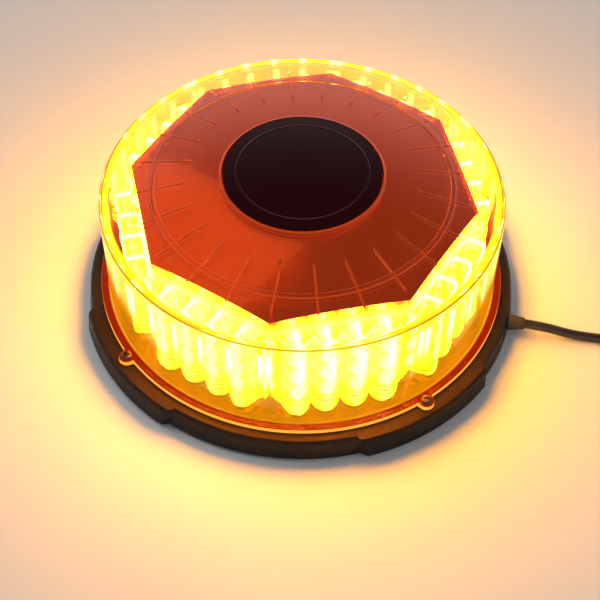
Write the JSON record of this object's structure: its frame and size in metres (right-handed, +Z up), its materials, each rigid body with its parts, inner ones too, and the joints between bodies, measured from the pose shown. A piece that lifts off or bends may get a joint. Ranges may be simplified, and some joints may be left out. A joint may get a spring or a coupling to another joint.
{
  "type": "rotating beacon",
  "caption": "Round magnetic-base strobe beacon: clear domed cover over an eight-sided tower of light boards, black base, thin lead with accessory plug.",
  "frame": {"origin": "on the head's centre line, at the plane its four rubber pads rest on", "axes": "+Z up through the dome, +X towards the side where the lead leaves"},
  "size_m": [0.3202, 0.156, 0.0604],
  "materials": {
    "black_housing": "fine moulded grain",
    "tower_plastic": "satin moulded",
    "amber_lens": "clear amber polycarbonate",
    "optic_plastic": "clear acrylic",
    "silvered_plastic": "silvered",
    "black_gloss": "polished",
    "circuit_board": "white solder mask",
    "led_package": "phosphor under silicone",
    "screw_steel": "plated",
    "magnet_metal": "nickel plated",
    "pad_rubber": "matt",
    "capacitor_can": "sleeved can",
    "choke": "lacquered copper wire",
    "chip_black": "moulded epoxy",
    "socket_white": "moulded nylon",
    "cord_jacket": "smooth jacket",
    "relief_rubber": "matt",
    "tie": "nylon",
    "plug_body": "fine moulded grain",
    "plug_metal": "nickel plated",
    "fuse_glass": "glass tube with metal caps",
    "button_red": "moulded",
    "button_grey": "moulded",
    "pilot": "clear red"
  },
  "bodies": {
    "beacon": {"base_housing": "black_housing", "bottom_plate": "black_housing", "bottom_screws": "screw_steel", "cable_grommet": "relief_rubber", "cap_reflector": "silvered_plastic", "capacitors": "capacitor_can", "centre_disc": "black_gloss", "choke_coil": "choke", "coil_ties": "tie", "controller_chip": "chip_black", "cord": "cord_jacket", "cord_coil": "cord_jacket", "cord_tail": "cord_jacket", "driver_board": "circuit_board", "driver_screws": "screw_steel", "frame_screws": "screw_steel", "inner_lead": "cord_jacket", "led_chips": "led_package", "lens": "amber_lens", "lens_screws": "screw_steel", "lens_seal": "pad_rubber", "light_board_1": "circuit_board", "light_board_2": "circuit_board", "light_board_3": "circuit_board", "light_board_4": "circuit_board", "light_board_5": "circuit_board", "light_board_6": "circuit_board", "light_board_7": "circuit_board", "light_board_8": "circuit_board", "magnet_pads": "pad_rubber", "magnets": "magnet_metal", "optic_panel_1": "optic_plastic", "optic_panel_2": "optic_plastic", "optic_panel_3": "optic_plastic", "optic_panel_4": "optic_plastic", "optic_panel_5": "optic_plastic", "optic_panel_6": "optic_plastic", "optic_panel_7": "optic_plastic", "optic_panel_8": "optic_plastic", "pilot_light": "pilot", "plug_nose_ring": "plug_body", "plug_screws": "screw_steel", "plug_shell_lower": "plug_body", "plug_shell_upper": "plug_body", "plug_strain_relief": "relief_rubber", "switch_board": "circuit_board", "switches": "chip_black", "tip_spring": "plug_metal", "tower_frame": "tower_plastic", "transistors": "chip_black", "wire_socket": "socket_white"},
    "plug_contact": {"plug_tip": "plug_metal", "fuse": "fuse_glass"},
    "left_ground_clip": {"ground_clip_left": "plug_metal"},
    "right_ground_clip": {"ground_clip_right": "plug_metal"},
    "power_key": {"power_button": "button_red"},
    "mode_key": {"mode_button": "button_grey"}
  },
  "joints": [
    {"name": "tip_press", "type": "slide", "parent": "beacon", "child": "plug_contact", "axis": [-0.866, 0.5, 0], "range_m": [0, 0.003], "stiffness_N_per_m": 900, "springref_m": -0.002, "deforming": ["tip_spring"]},
    {"name": "left_clip_press", "type": "slide", "parent": "beacon", "child": "left_ground_clip", "axis": [-0.5, -0.866, 0], "range_m": [0, 0.0012], "stiffness_N_per_m": 1500, "springref_m": -0.0005},
    {"name": "right_clip_press", "type": "slide", "parent": "beacon", "child": "right_ground_clip", "axis": [0.5, 0.866, 0], "range_m": [0, 0.0012], "stiffness_N_per_m": 1500, "springref_m": -0.0005},
    {"name": "power_press", "type": "slide", "parent": "beacon", "child": "power_key", "axis": [0, 0, -1], "range_m": [0, 0.0009], "stiffness_N_per_m": 1200, "springref_m": -0.001},
    {"name": "mode_press", "type": "slide", "parent": "beacon", "child": "mode_key", "axis": [0, 0, -1], "range_m": [0, 0.0005], "stiffness_N_per_m": 1200, "springref_m": -0.001}
  ]
}
